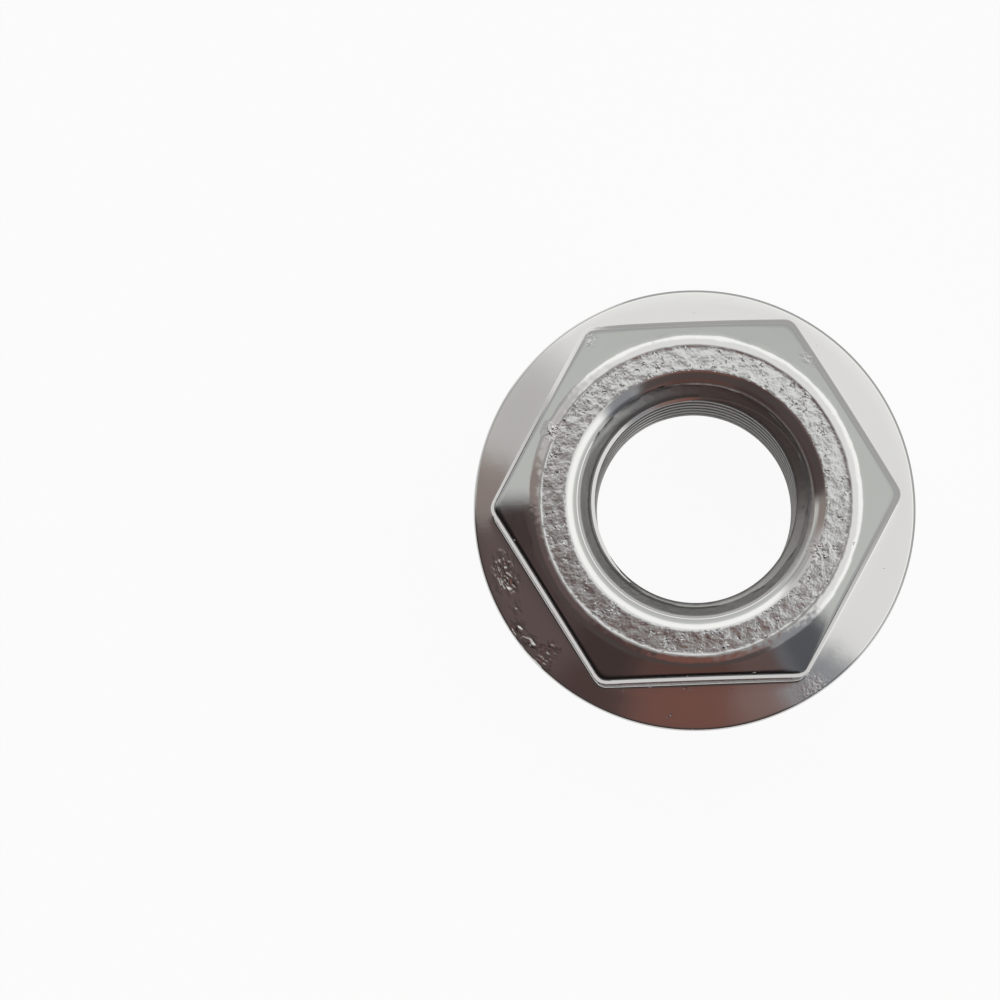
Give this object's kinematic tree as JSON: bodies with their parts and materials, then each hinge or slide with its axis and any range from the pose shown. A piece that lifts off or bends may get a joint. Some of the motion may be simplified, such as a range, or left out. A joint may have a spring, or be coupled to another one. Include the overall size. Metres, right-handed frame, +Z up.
{
  "type": "serrated flange nut",
  "caption": "Hexagon nut with a built-in round flange whose underside carries ratchet serrations that bite into the clamped part and keep the nut from working loose.",
  "frame": {"origin": "centre of the bore in the plane of the serrated bearing face", "axes": "+Z up the bore from the flange towards the chamfered top, +X through two opposite corners of the hexagon, +Y through the middle of a flat"},
  "size_m": [0.0194, 0.0194, 0.0096],
  "materials": {
    "stainless_steel": "tumbled and polished stainless steel, with a coarser faced ring round the top of the bore"
  },
  "bodies": {
    "root": {"flange_nut": "stainless_steel"}
  },
  "joints": []
}
